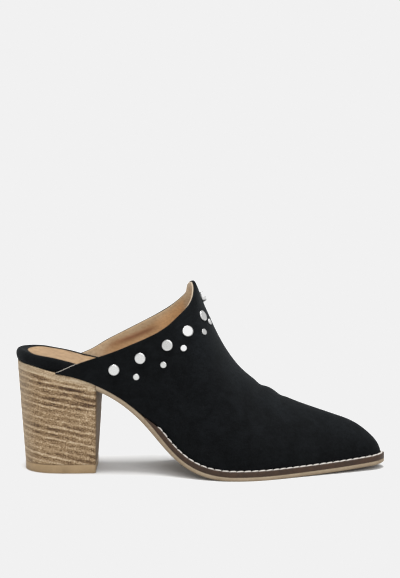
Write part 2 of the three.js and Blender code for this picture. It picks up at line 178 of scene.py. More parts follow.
def soleThickness(x):
    return mix(sole["thickness"]["waist"], sole["thickness"]["forepart"], ease(90, 112, x))


def featherHeight(x):
    return soleThickness(x) + 0.45 + (weltHeight(x) + sole["gap"]) * ease(80, 86, x)


featherTip = length - float(featherInset(length))
featherX = stations(0, length, 900)
featherTable = {side: outline(side, featherX, featherInset(featherX)) for side in (outer, inner)}
sectionX = [row[0] for row in last["sections"]]
feather = lambda x: level(x, featherHeight(x))
rises = [(row[1] - float(feather(row[0])))**2 for row in last["sections"]]
riseSquare = Curve(sectionX + [featherTip], rises + [0])
leanCurve, bulgeCurve, flankCurve, crownCurve = (
    Curve(sectionX, [row[k] for row in last["sections"]]) for k in (2, 3, 4, 5)
)


def lastPoint(side, x, t):  # t is 0 at the feather edge and 1 on the ridge
    tableX, tableY = featherTable[side]
    half = np.sqrt(np.interp(x, tableX, tableY**2))
    rise = np.sqrt(np.maximum(0, riseSquare(x)))
    row = np.minimum(x, sectionX[-1])
    narrow = np.minimum(1, half / 12)
    b0, b1, b2, b3 = (1 - t)**3, 3 * (1 - t)**2 * t, 3 * (1 - t) * t * t, t**3
    y = b0 * half + b1 * (half + bulgeCurve(row) * narrow) + b2 * crownCurve(row) * half
    z = rise * (b1 * flankCurve(row) + b2 + b3)
    point = (x, side * y + leanCurve(row) * narrow * (b2 + b3), feather(x) + z)
    return np.stack(np.broadcast_arrays(*point), -1)


def tAtHeight(side, x, z):
    low, high = np.zeros_like(x), np.ones_like(x)
    for _ in range(40):
        middle = (low + high) / 2
        below = lastPoint(side, x, middle)[..., 2] < z
        low, high = np.where(below, middle, low), np.where(below, high, middle)
    return (low + high) / 2


def toplinePath(rows):  # x and z by the share of the path's length
    rows = np.array(rows + [last["peak"]], float)
    along = np.concatenate([[0], np.cumsum(np.hypot(*np.diff(rows, axis=0).T))])
    xCurve, zCurve = Curve(along, rows[:, 0]), Curve(along, rows[:, 1])
    return lambda share: (xCurve(share * along[-1]), zCurve(share * along[-1]))


topline = {outer: toplinePath(last["outerTopline"]), inner: toplinePath(last["innerTopline"])}


# lines from the feather edge to trim below the topline, from the outer quarter round to the inner one
def upperNet(around, upward, trim):
    lines = []
    shares = 1 - (1 - np.linspace(0, 1, around + 1))**1.25
    v = np.linspace(0, 1, 241)**2.5
    for side, rear in ((outer, last["outerTopline"][0][0]), (inner, last["innerTopline"][0][0])):
        foot = mix(rear, featherTip, 1 - (1 - shares**1.2)**1.25)
        headX, headZ = topline[side](shares)
        headT = tAtHeight(side, headX, headZ)
        headT[-1] = 1
        x = foot[:, None] + (headX - foot)[:, None] * v
        fine = lastPoint(side, x, headT[:, None] * v ** (1 - shares)[:, None])
        gaps = np.linalg.norm(np.diff(fine, axis=1), axis=2)
        along = np.concatenate([np.zeros((around + 1, 1)), np.cumsum(gaps, axis=1)], axis=1)
        ends = along[:, -1] - np.minimum(trim(side, headX), 0.45 * along[:, -1])
        wanted = np.linspace(0, 1, upward + 1)**1.15
        made = np.array([
            [np.interp(wanted * end, a, line[:, k]) for k in range(3)]
            for end, a, line in zip(ends, along, fine)
        ])
        lines.append(made.transpose(0, 2, 1))
    return np.concatenate([lines[0], lines[1][-2::-1]])


def netNormals(net):
    alongLines = np.empty_like(net)
    alongLines[1:-1] = net[2:] - net[:-2]
    alongLines[0], alongLines[-1] = net[1] - net[0], net[-1] - net[-2]
    up = np.empty_like(net)
    up[:, 1:-1] = net[:, 2:] - net[:, :-2]
    up[:, 0], up[:, -1] = net[:, 1] - net[:, 0], net[:, -1] - net[:, -2]
    normals = np.cross(alongLines, up)
    return normals / np.maximum(np.linalg.norm(normals, axis=2, keepdims=True), 1e-9)


# the frame's origin is under the middle of the shoe; the outsole's box tells where its tip and outer side are
soleLow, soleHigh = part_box("outsole")
ballHalf = float(np.sqrt(widthSquare[outer](np.linspace(130, 160, 200))).max())
shift = np.array([soleHigh.x * 1000 - length, soleLow.y * 1000 + ballHalf, 0])
print("last rebuilt, shifted by", shift.round(2))


def gridFaces(rows, columns):  # faces between closed rings
    a = np.arange(rows * columns).reshape(rows, columns)
    a = np.hstack([a, a[:, :1]])
    return np.stack([a[:-1, :-1], a[1:, :-1], a[1:, 1:], a[:-1, 1:]], -1).reshape(-1, 4)


def caps(rows, columns):  # the two end faces of stacked closed rings
    return [list(range(columns)), list(range(rows * columns - 1, (rows - 1) * columns - 1, -1))]


def tubeFaces(rings, ends=2, flip=False):
    rows, columns = rings.shape[:2]
    sides = gridFaces(rows, columns)
    return (sides[:, ::-1] if flip else sides).tolist() + caps(rows, columns)[:ends]


def newObject(name, data):
    made = bpy.data.objects.new(name, data)
    bpy.context.scene.collection.objects.link(made)
    return made


def makePiece(name, points, faces, material, attributes=None, replaces=()):
    mesh = bpy.data.meshes.new(name)
    points = (np.asarray(points, float).reshape(-1, 3) + shift) / 1000
    mesh.from_pydata(points.tolist(), [], [list(map(int, f)) for f in faces])
    for key, values in (attributes or {}).items():
        attribute = mesh.attributes.new(key, "FLOAT", "POINT")
        attribute.data.foreach_set("value", np.asarray(values, np.float32).ravel())
    mesh.validate()
    shape = bmesh.new()
    shape.from_mesh(mesh)
    bmesh.ops.recalc_face_normals(shape, faces=shape.faces)
    shape.to_mesh(mesh)
    shape.free()
    mesh.shade_smooth()
    mesh.materials.append(material)
    piece = newObject(name, mesh)
    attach(piece, "root")
    if replaces:
        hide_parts(*replaces)
    return piece


def roundCorner(corner, before, after, radius):  # points of a rounded corner of a profile
    corner, before, after = (np.array(p, float) for p in (corner, before, after))
    a = corner + (before - corner) / np.linalg.norm(before - corner) * radius
    b = corner + (after - corner) / np.linalg.norm(after - corner) * radius
    s = np.linspace(0, 1, 4)[:, None]
    return ((1 - s)**2 * a + 2 * s * (1 - s) * corner + s * s * b).tolist()


class Shade:  # one output in a material's nodes; sums of it add the nodes that work them out
    def __init__(self, paint, socket):
        self.paint, self.socket = paint, socket

    def pair(self, operation, first, second):
        kinds = [s.socket.type for s in (first, second) if isinstance(s, Shade)]
        if "RGBA" in kinds:
            grey = lambda s: (s, s, s, 1) if isinstance(s, (int, float)) else s
            settings = {"data_type": "RGBA", "blend_type": operation}
            return self.paint.node("ShaderNodeMix", settings, {0: 1.0, 6: grey(first), 7: grey(second)}, 2)
        if "VECTOR" in kinds:
            spread = lambda s: (s, s, s) if isinstance(s, (int, float)) else s
            inputs = {0: spread(first), 1: spread(second)}
            return self.paint.node("ShaderNodeVectorMath", {"operation": operation}, inputs)
        return self.paint.node("ShaderNodeMath", {"operation": operation}, {0: first, 1: second})

    def __add__(self, other):
        return self.pair("ADD", self, other)

    __radd__ = __add__

    def __sub__(self, other):
        return self.pair("SUBTRACT", self, other)

    def __rsub__(self, other):
        return self.pair("SUBTRACT", other, self)

    def __mul__(self, other):
        return self.pair("MULTIPLY", self, other)

    __rmul__ = __mul__


studioGain = 1.45  # how much brighter than its own colour a side wall looks in this light


def linear(colour):  # 0-255 colour as seen in this light to the surface's own linear colour
    scaled = [c / 255 for c in colour]
    return tuple((c / 12.92 if c <= 0.04045 else ((c + 0.055) / 1.055)**2.4) / studioGain
        for c in scaled) + (1.0,)


class Paint:  # a material and the nodes that make its finish
    def __init__(self, name, **constants):
        self.material = bpy.data.materials.new(name)
        self.material.use_nodes = True
        self.tree = self.material.node_tree
        self.shader = next(n for n in self.tree.nodes if n.type == "BSDF_PRINCIPLED")
        for key, value in constants.items():
            self.shader.inputs[key.replace("_", " ")].default_value = value

    def node(self, kind, settings=None, inputs=None, output=0):
        made = self.tree.nodes.new(kind)
        for key, value in (settings or {}).items():
            if key == "stops":
                while len(made.color_ramp.elements) < len(value):
                    made.color_ramp.elements.new(1.0)
                for element, (place, colour) in zip(made.color_ramp.elements, value):
                    element.position, element.color = place, colour
            else:
                setattr(made, key, value)
        for key, value in (inputs or {}).items():
            if isinstance(value, Shade):
                self.tree.links.new(value.socket, made.inputs[key])
            else:
                made.inputs[key].default_value = value
        return Shade(self, made.outputs[output])

    def place(self):  # where a point is, in metres
        return self.node("ShaderNodeTexCoord", output=3)

    def attribute(self, name):
        return self.node("ShaderNodeAttribute", {"attribute_name": name}, output=2)

    def noise(self, vector, scale, detail=2.0, roughness=0.5, distortion=0.0):
        amounts = {"Scale": scale, "Detail": detail, "Roughness": roughness, "Distortion": distortion}
        return self.node("ShaderNodeTexNoise", inputs={"Vector": vector, **amounts})

    def vector(self, x, y, z):
        return self.node("ShaderNodeCombineXYZ", inputs={0: x, 1: y, 2: z})

    def stretched(self, vector, scales):
        return self.node("ShaderNodeVectorMath", {"operation": "MULTIPLY"}, {0: vector, 1: scales})

    def ramp(self, value, low, high):  # 0 below low, 1 above high, smooth between
        inputs = {"Value": value, "From Min": low, "From Max": high}
        return self.node("ShaderNodeMapRange", {"interpolation_type": "SMOOTHSTEP"}, inputs)

    def blend(self, factor, first, second):
        return self.node("ShaderNodeMix", {"data_type": "RGBA"}, {0: factor, 6: first, 7: second}, 2)

    def math(self, operation, first, second=0.0):
        return self.node("ShaderNodeMath", {"operation": operation}, {0: first, 1: second})

    def bump(self, height, strength, distance, under=None):
        inputs = {"Height": height, "Strength": strength, "Distance": distance}
        return self.node("ShaderNodeBump", inputs={**inputs, "Normal": under} if under else inputs)

    def set(self, **links):
        for key, value in links.items():
            self.tree.links.new(value.socket, self.shader.inputs[key.replace("_", " ")])
        return self.material


suedeLook = {
    "deep": (8, 9, 10),
    "raised": (20, 22, 24),
    # lighter nap where it is rubbed, and painted sheen on the top of the vamp
    "wornAndSheen": (34, 38, 42),
    "sheen": 0.03,
    "sheenTint": (0.7, 0.8, 0.85, 1),
    "grainScale": 1500,
    "patchScale": 90,
}


def suedeFinish():
    sheen = {"Sheen_Weight": suedeLook["sheen"], "Sheen_Roughness": 0.5, "Sheen_Tint": suedeLook["sheenTint"]}
    paint = Paint("blackSuede", Roughness=0.95, Specular_IOR_Level=0.05, **sheen)
    place = paint.place()
    nap = paint.noise(place, suedeLook["grainScale"], 2, 0.7)
    brushed = paint.noise(paint.stretched(place, (230, 400, 520)), 1.0, 4, 0.65, 0.6)
    patches = paint.noise(place, suedeLook["patchScale"], 2, 0.5, 0.8)
    tone = nap * 0.5 + brushed * 0.35 + patches * 0.35 - 0.1
    colour = paint.blend(paint.ramp(tone, 0.34, 0.7), linear(suedeLook["deep"]), linear(suedeLook["raised"]))
    # rubbed nap and painted sheen on the top of the vamp, mixed towards the lighter colour
    rubbed = paint.attribute("rubbed")
    colour = paint.blend(rubbed * paint.ramp(nap * 0.6 + brushed * 0.4, 0.3, 0.65), colour,
        linear(suedeLook["wornAndSheen"]))
    fibres = paint.bump(nap * 0.7 + brushed * 0.5, 0.6, 0.0004)
    return paint.set(Base_Color=colour, Roughness=0.84 + 0.14 * nap, Normal=fibres)


def leatherFinish(name, look, poreScale=1500, creaseScale=120, strength=0.25, roughness=0.5, **constants):
    paint = Paint(name, **constants)
    place = paint.place()
    clouds = paint.noise(place, creaseScale, 4, 0.6, 0.4)
    pores = paint.noise(place, poreScale, 2, 0.6)
    colour = paint.blend(paint.ramp(clouds * 0.75 + pores * 0.25, 0.3, 0.7), linear(look["dark"]),
        linear(look["light"]))
    grain = paint.bump(pores * 0.6 + clouds * 0.4, strength, 0.0003)
    return paint.set(Base_Color=colour, Roughness=roughness - 0.08 + 0.16 * clouds, Normal=grain)


suede = suedeFinish()
print("shader maths ready")

upperLook = {  # the suede upper
    "around": 214,  # lines on each side
    "upward": 110,
    "suedeWall": 1.1,
    "rimSteps": 5,
    "peakLift": 0.9,  # how far the suede swells at the peak
    # x, how far the quarters' edge laps down over the sole
    "lap": [(27, 2.0), (33, 1.5), (40, 0.95), (50, 0.75), (75, 0.7), (98, 0)],
    # soft troughs and ridges across the vamp: x on the ridge, share of the flank, width, depth, forward run
    "creases": [
        (164.6, 0.62, 2.6, -0.8, -14),
        (170.5, 0.5, 4.4, 0.85, -10),
        (178.2, 0.5, 2.4, -0.55, -12),
        (186, 0.45, 5.0, -0.1, -8),
        (150, 0.4, 6.0, -0.3, -12),
    ],
    # patches where the nap is rubbed lighter, which also carry painted sheen where the vamp faces up: x, z,
    # half length, half height, slant, strength
    "rubsAndSheen": [(122, 88, 9, 20, -0.5, 0.3), (148, 66, 10, 8, -0.8, 0.3), (172, 46, 12, 6, -0.5, 0.3),
        (215, 30, 16, 6, -0.3, 0.25), (112, 104, 6, 12, 0.3, 0.3)],
}


def downShare(points):  # 0 on the ridge, 1 at the feather edge
    x, z = points[..., 0], points[..., 2]
    return 1 - (z - feather(x)) / np.sqrt(np.maximum(riseSquare(x), 1e-6))


def creaseLift(points):  # how far the suede stands out of the last, in millimetres
    x, y, z = points[..., 0], points[..., 1], points[..., 2]
    down = downShare(points)
    lift = 0.15 * (1 - ease(0.05, 0.3, down))
    lift += 0.45 * ease(224, 240, x) * ease(0.02, 0.25, down) * (1 - ease(0.7, 1, down))
    lift -= 0.3 * ease(182, 195, x) * (1 - ease(212, 226, x)) * (1 - ease(0.1, 0.5, down))
    lift += upperLook["peakLift"] * np.exp(-((x - 120.5) / 3.2)**2) * (1 - ease(0.04, 0.3, down))
    for ridgeX, reach, width, depth, sweep in upperLook["creases"]:
        across = (x - ridgeX - sweep * down) / width
        lift += depth * np.exp(-across**2) * (1 - ease(0.15, reach, down))
    uneven = 0.22 * np.sin(x * 0.19 + z * 0.11) * np.sin(y * 0.13 + x * 0.07 + 1.3)
    return lift + uneven * ease(0.02, 0.2, down) * (1 - ease(0.75, 0.95, down))


# patches of rubbed nap, which also stand for painted sheen along the top of the vamp
def rubAndSheenPatches(points):
    x, z = points[..., 0], points[..., 2]
    rubbed = np.zeros_like(x)
    for cx, cz, halfLength, halfHeight, slant, strength in upperLook["rubsAndSheen"]:
        dx, dz = x - cx, z - cz - slant * (x - cx)
        rubbed = np.maximum(rubbed, strength * np.exp(-(dx / halfLength)**2 - (dz / halfHeight)**2))
    return rubbed


def lap(x):
    return tabled(upperLook["lap"], x)


def lapOver(points):  # the quarters' lower edge laps over the seat and the waist of the sole
    x, z = points[..., 0], points[..., 2]
    amount = lap(x) * np.exp(-((z - feather(x)) / 8)**2)
    moved = points.copy()
    moved[..., 2] -= amount
    moved[..., 1] += np.sign(points[..., 1]) * 0.25 * amount
    return moved


def shell(net, normals, outside, inside, steps):  # a wall with a round rim along the topline
    upward = net[:, -1] - net[:, -2]
    upward -= normals[:, -1] * np.sum(upward * normals[:, -1], axis=1, keepdims=True)
    upward /= np.linalg.norm(upward, axis=1, keepdims=True)
    outerFace = net + normals * outside[..., None]
    innerFace = net + normals * inside[..., None]
    half = (outside[:, -1] - inside[:, -1])[:, None] / 2
    middle = net[:, -1] + normals[:, -1] * (outside[:, -1] + inside[:, -1])[:, None] / 2
    rim = [middle + normals[:, -1] * half * math.cos(a) + upward * half * math.sin(a)
        for a in np.linspace(0, math.pi, steps + 2)[1:-1]]
    return np.concatenate([outerFace, np.stack(rim, 1), innerFace[:, ::-1]], axis=1)


def closeShell(rows, columns):  # faces of a shell grid, its foot and its two ends
    faces = gridFaces(rows, columns).tolist()
    last = (rows - 1) * columns
    for k in range(columns // 2 - 1):
        faces.append([k, k + 1, columns - 2 - k, columns - 1 - k])
        faces.append([last + columns - 1 - k, last + columns - 2 - k, last + k + 1, last + k])
    return faces


suedeTrim = lambda side, x: np.full(x.shape, upperLook["suedeWall"] / 2)
net = upperNet(upperLook["around"], upperLook["upward"], suedeTrim)
normals = netNormals(net)
lift = creaseLift(net)
rubsAndSheen = rubAndSheenPatches(net)
net = lapOver(net)
suedeShell = shell(net, normals, lift, np.full(lift.shape, -upperLook["suedeWall"]), upperLook["rimSteps"])
rubAndSheenMap = np.concatenate([rubsAndSheen, np.repeat(rubsAndSheen[:, -1:], upperLook["rimSteps"], axis=1), rubsAndSheen[:, ::-1]], axis=1)
upperSuede = makePiece("upperSuede", suedeShell, closeShell(*suedeShell.shape[:2]), suede,
    {"rubbed": rubAndSheenMap}, ["upper"])
print("suede upper:", len(upperSuede.data.polygons), "faces")

liningLook = {  # the leather inside the quarters
    "around": 150,
    "upward": 80,
    "rimSteps": 4,
    "recess": 0.4,  # how far its edge lies below the suede's
    "proud": 0.1,  # and above it near the peak and the outer rear tip
    # colours by depth below the topline: the darker middle band is painted shade and the lighter low band is
    # painted light
    "top": (194, 168, 134),
    "middle": (190, 150, 108),
    "low": (220, 178, 132),
    "glow": (242, 190, 136),  # short of the peak
    "pale": (228, 202, 170),  # near the rear tips and the peak
    # painted shade in the fold of the lining
    "fold": (136, 84, 58),
    # from this x, its depth below the topline there, deeper by this much a millimetre
    "foldPath": (65, 4, 0.12),
    "foldWidth": 1.5,
    "rawEdge": (214, 206, 194),
    "streak": (140, 104, 66),
}


def edgeShows(side, x):  # where the lining's raw edge can be seen past the suede
    nearPeak = ease(110, 117.5, x)
    nearTip = 1 - ease(38, 48, x)
    return np.maximum(nearPeak, nearTip) if side == outer else nearPeak * 0.8


def liningTrim(side, x):
    half = (last["wall"] - upperLook["suedeWall"]) / 2
    return half + mix(liningLook["recess"], -liningLook["proud"], edgeShows(side, x))


def liningFinish():
    paint = Paint("liningLeather", Specular_IOR_Level=0.3)
    place = paint.place()
    depth = paint.attribute("depth")  # below the topline, in millimetres
    clouds = paint.noise(place, 140, 4, 0.6, 0.5)
    streaks = paint.noise(paint.stretched(place, (500, 90, 900)), 1.0, 3, 0.6, 0.4)
    pores = paint.noise(place, 1600, 2, 0.6)
    # darker middle band: painted shade; lighter low band: painted light against the shade low on the wall
    colour = paint.blend(paint.ramp(depth + clouds * 6, 4, 9), linear(liningLook["top"]),
        linear(liningLook["middle"]))
    colour = paint.blend(paint.ramp(depth + clouds * 6, 9, 15), colour, linear(liningLook["low"]))
    colour = paint.blend(paint.attribute("glow") * 0.7, colour, linear(liningLook["glow"]))
    colour = paint.blend(paint.attribute("pale") * 0.7, colour, linear(liningLook["pale"]))
    # painted shade along the fold
    colour = paint.blend(paint.attribute("fold") * 0.85, colour, linear(liningLook["fold"]))
    colour = paint.blend(paint.ramp(streaks * 0.7 + pores * 0.3, 0.4, 0.65) * 0.35, colour,
        linear(liningLook["streak"]))
    colour = paint.blend(paint.attribute("edge"), colour, linear(liningLook["rawEdge"]))
    return paint.set(Base_Color=colour, Roughness=0.5 + 0.2 * clouds,
        Normal=paint.bump(pores * 0.5 + clouds * 0.5, 0.3, 0.0003))


liningNet = upperNet(liningLook["around"], liningLook["upward"], liningTrim)
liningNormals = netNormals(liningNet)
belowEdge = np.linalg.norm(liningNet - liningNet[:, -1:], axis=2)
liningX = liningNet[..., 0]
foldX, foldDepth, foldSlope = liningLook["foldPath"]
foldLine = np.exp(-((belowEdge - foldDepth - foldSlope * (liningX - foldX)) / liningLook["foldWidth"])**2)
foldLine = foldLine * ease(57, 76, liningX) * (1 - ease(88, 98, liningX))
pale = np.maximum(1 - ease(50, 68, liningX), ease(111, 116, liningX))
glow = ease(90, 101, liningX) * (1 - ease(112, 117, liningX)) * ease(0.3, 3, belowEdge)
slack = 0.25 * np.sin(liningX * 0.24) * np.sin(belowEdge * 0.3) * ease(1, 6, belowEdge) - 0.45 * foldLine
edgeX, edgeY = liningNet[:, -1, :2].T
rawEdge = 0.35 * ease(110, 117.5, edgeX) + (1 - ease(38, 48, edgeX)) * (edgeY < 0)
liningNet = lapOver(liningNet)
liningShell = shell(liningNet, liningNormals, np.full(slack.shape, -upperLook["suedeWall"] - 0.04),
    -last["wall"] + slack * 0.5, liningLook["rimSteps"])
rows, columns = liningShell.shape[:2]
upwardCount = liningLook["upward"] + 1
edgeMap = np.zeros((rows, columns))
edgeMap[:, upwardCount - 3:upwardCount + liningLook["rimSteps"] + 1] = rawEdge[:, None]
rimZeros = np.zeros((rows, liningLook["rimSteps"]))
depthMap = np.concatenate([belowEdge, rimZeros, belowEdge[:, ::-1]], axis=1)
foldShadeMap, glowMap, paleMap = (np.concatenate([0 * part, rimZeros, part[:, ::-1]], axis=1)
    for part in (foldLine, glow, pale))
lining = makePiece("lining", liningShell, closeShell(rows, columns), liningFinish(),
    {"edge": edgeMap, "depth": depthMap, "fold": foldShadeMap, "glow": glowMap, "pale": paleMap})
print("lining:", len(lining.data.polygons), "faces")

insoleLook = {  # a padded board wrapped in suede, with a leather sock on top
    "seatPad": 7.7,
    "forepartPad": 4.0,
    # share of the height, inset
    "edge": [(0, 1.1), (0.08, 0.55), (0.28, 0.12), (0.5, 0), (0.72, 0.15), (0.88, 0.65), (0.97, 1.35),
        (1, 2.1), (0.985, 2.7), (0.94, 3.4)],
    # x, how much the inner side is raised
    "rise": [(0, 0.5), (12, 0.3), (23, 0.3), (33, 0.65), (45, 1.1), (54, 2.5), (62, 3.4), (75, 3.6),
        (95, 1.8), (112, 0)],
    # x, how far its lower edge hangs over the heel
    "hang": [(12, 0), (16, 0.3), (20, 0.65), (25, 1.3), (30, 1.3), (45, 0)],
    "dish": 0.3,  # how far the middle lies below the rolled edge
    "sockBorder": 3.1,
    "sockBorderBack": 7.8,
    "sockBorderInside": -1.0,  # out towards the lining
    "sockLiftInside": 0.55,
    "light": (176, 146, 111),
    "dark": (142, 114, 82),
}


def insoleInset(x):
    return mix(0.2, featherInset(x) + last["wall"] + sole["gap"], ease(14, 28, x))


def insoleTop(x):
    pad = mix(insoleLook["seatPad"], insoleLook["forepartPad"], ease(58, 112, x))
    return soleThickness(x) + sole["gap"] + pad


def insoleRise(side, x):
    return tabled(insoleLook["rise"], x) * (1 if side == inner else ease(43, 58, x) + (1 - ease(4, 14, x)))


def acrossRow(left, right, count):  # points between the two ends of a ring, without the ends
    s = np.linspace(0, 1, count + 2)[1:-1]
    return left[None] + (right - left)[None] * s[:, None]


def padRings():
    rings = []
    for x in stations(0, length, 260):
        sides = []
        for side in (outer, inner):
            up, inset = np.array(insoleLook["edge"]).T
            edge = insoleInset(x) + inset * mix(1.6, 1.0, ease(0, 18, x))
            px, py = outline(side, np.full(len(up), x), edge)
            low = soleThickness(px) + sole["gap"] - tabled(insoleLook["hang"], px)
            high = insoleTop(px) + insoleRise(side, px)
            sides.append(np.stack([px, py, level(px, mix(low, high, up))], -1))
        top = acrossRow(sides[0][-1], sides[1][-1], 13)
        s = np.linspace(-1, 1, 15)[1:-1]
        top[:, 2] -= (insoleLook["dish"] + 0.7) * (1 - s * s) * ease(0, 8, x)
        bottom = acrossRow(sides[1][0], sides[0][0], 5)
        rings.append(np.concatenate([sides[0], top, sides[1][::-1], bottom]))
    return np.array(rings)


rings = padRings()
insolePad = makePiece("insolePad", rings, tubeFaces(rings, 0), suede, replaces=["insole"])


def sockBorder(x):
    border = mix(insoleLook["sockBorderBack"], insoleLook["sockBorder"], ease(0, 20, x))
    return mix(border, insoleLook["sockBorderInside"], ease(62, 84, x))


def sockRings():
    rings = []
    for x in stations(0, length, 220):
        ends = []
        for side in (outer, inner):
            edge = insoleInset(x) + sockBorder(x) + np.array([0.0, 0.0, 0.12, 0.5])
            px, py = outline(side, np.full(4, x), edge)
            pad = insoleTop(px) + insoleRise(side, px) + np.array([-1.5, -0.8, -0.66, -0.62])
            pad += insoleLook["sockLiftInside"] * ease(62, 84, px)
            ends.append(np.stack([px, py, level(px, pad)], -1))
        top = acrossRow(ends[0][-1], ends[1][-1], 15)
        s = np.linspace(-1, 1, 17)[1:-1]
        top[:, 2] -= insoleLook["dish"] * (1 - s * s) * ease(0, 8, x)
        rings.append(np.concatenate([ends[0], top, ends[1][::-1]]))
    return np.array(rings)


sockLeather = leatherFinish("sockLeather", insoleLook, creaseScale=230, strength=0.2, roughness=0.62,
    Specular_IOR_Level=0.15)
rings = sockRings()
sock = makePiece("sock", rings, tubeFaces(rings, 0), sockLeather)
print("insole:", len(insolePad.data.polygons), "faces, sock:", len(sock.data.polygons))

heelLook = {  # the stacked heel
    # where its front meets the sides, under the seat and at the floor
    "breast": {outer: (54.6, 53.9), inner: (58.0, 54.5)},
    "inset": 1.2,
    "topPiece": 5.8,
    "taper": {"back": 4.9, "side": 4.6},
    # share of the height, share of the taper
    "levels": [(0, 1), (0.15, 0.82), (0.35, 0.6), (0.65, 0.32), (0.86, 0.1), (1, 0)],
    "joint": (28.0, 65.4),  # x and z of the highest joint between two layers
    "pitch": 4.18,
    "slope": 0.183,  # of the highest joint, down to the front
    "steeper": 0.00114,  # more slope for each millimetre further down, ahead of that joint
    "groove": 0.1,
    "grooveWidth": 0.28,
    "proud": 0.09,  # how far a layer stands out or lies back at most
    "layers": 24,
    "rows": 190,
    "sideLines": 80,
    "breastLines": 24,
    "halfWidth": 26,
    "mottle": 0.16,  # how much the tone drifts across the block
    "tones": [(0, (50, 34, 22)), (0.28, (94, 69, 45)), (0.5, (142, 116, 84)), (0.72, (180, 155, 121)),
        (1, (218, 200, 172))],
    "seatLayer": (170, 152, 126),
    # darker breast: the breast's own darker leather and painted shade
    "breastShadeTone": (110, 84, 48),
    # painted light on the back of the heel
    "backLitTone": (184, 166, 140),
}


lastSideLine = 2 * heelLook["sideLines"]


def heelLoop(x, side, up, extraInset=0.0):
    tx, ty = outline(side, x, heelLook["inset"] + extraInset)
    top, bottom = heelLook["breast"][side]
    along = (top - tx) / top
    share = tabled(heelLook["levels"], up)
    moved = tx + (heelLook["taper"]["back"] * along - (top - bottom) * (1 - along)) * share
    return tx, moved, ty * (1 - heelLook["taper"]["side"] * share / heelLook["halfWidth"])


def heelRing(up, extraInset=0.0):  # x, y of a ring round the heel, and the place of each point on the seat
    tops = [heelLook["breast"][side][0] for side in (outer, inner)]
    outerX, innerX = (stations(0, top, heelLook["sideLines"]) for top in tops)
    seatX, x, y = heelLoop(outerX[::-1], outer, up, extraInset)
    seatX2, x2, y2 = heelLoop(innerX[1:], inner, up, extraInset)
    ring = np.concatenate([np.stack([x, y, seatX], -1), np.stack([x2, y2, seatX2], -1)])
    front = acrossRow(ring[-1], ring[0], heelLook["breastLines"])
    ring = np.concatenate([ring, front])
    soft = ring.copy()
    for corner in (0, lastSideLine):  # ease the two upright edges of the breast
        before, after = ring[corner - 1, :2], ring[(corner + 1) % len(ring), :2]
        soft[corner, :2] = (before + 2 * ring[corner, :2] + after) / 4
    return soft


def layerAt(x, z):  # layers counted down from the seat, in whole numbers at the joints
    jointX, jointZ = heelLook["joint"]
    run = x - jointX
    steeper = heelLook["steeper"] * (run > 0)
    height = (z + (heelLook["slope"] + jointZ * steeper) * run) / (1 + steeper * run)
    return 1 + (jointZ - height) / heelLook["pitch"]


def heelMesh():
    rng = np.random.default_rng(7)
    proud = rng.uniform(-heelLook["proud"], heelLook["proud"], heelLook["layers"])
    points, along, layers, depths = [], [], [], []
    for up in np.linspace(0, 1, heelLook["rows"]):
        ring = heelRing(up)
        x, y, seatX = ring.T
        seat = level(seatX, soleThickness(seatX) - tabled(insoleLook["hang"], seatX))
        z = mix(heelLook["topPiece"] + 0.1, seat, up)
        layer = layerAt(x, z)
        tangent = np.roll(ring[:, :2], -1, 0) - np.roll(ring[:, :2], 1, 0)
        tangent /= np.linalg.norm(tangent, axis=1, keepdims=True)
        normal = np.stack([-tangent[:, 1], tangent[:, 0]], -1)
        normal *= np.sign(np.sum(normal * (ring[:, :2] - [28, 0]), axis=1))[:, None]
        fromJoint = np.abs(layer - np.round(layer)) * heelLook["pitch"]
        groove = heelLook["groove"] * np.exp(-(fromJoint / heelLook["grooveWidth"])**2)
        out = np.interp(layer, np.arange(heelLook["layers"]) - 0.5, proud) - groove
        out = np.where((up > 0) & (up < 1), out, -0.25)
        moved = ring[:, :2] + normal * out[:, None]
        points.append(np.stack([moved[:, 0], moved[:, 1], z], -1))
        gaps = np.linalg.norm(np.diff(ring[:, :2], axis=0, prepend=ring[-1:, :2]), axis=1)
        along.append(np.cumsum(gaps))
        layers.append(layer)
        depths.append(seat - z)
    return np.array(points), np.array(along), np.array(layers), np.array(depths)


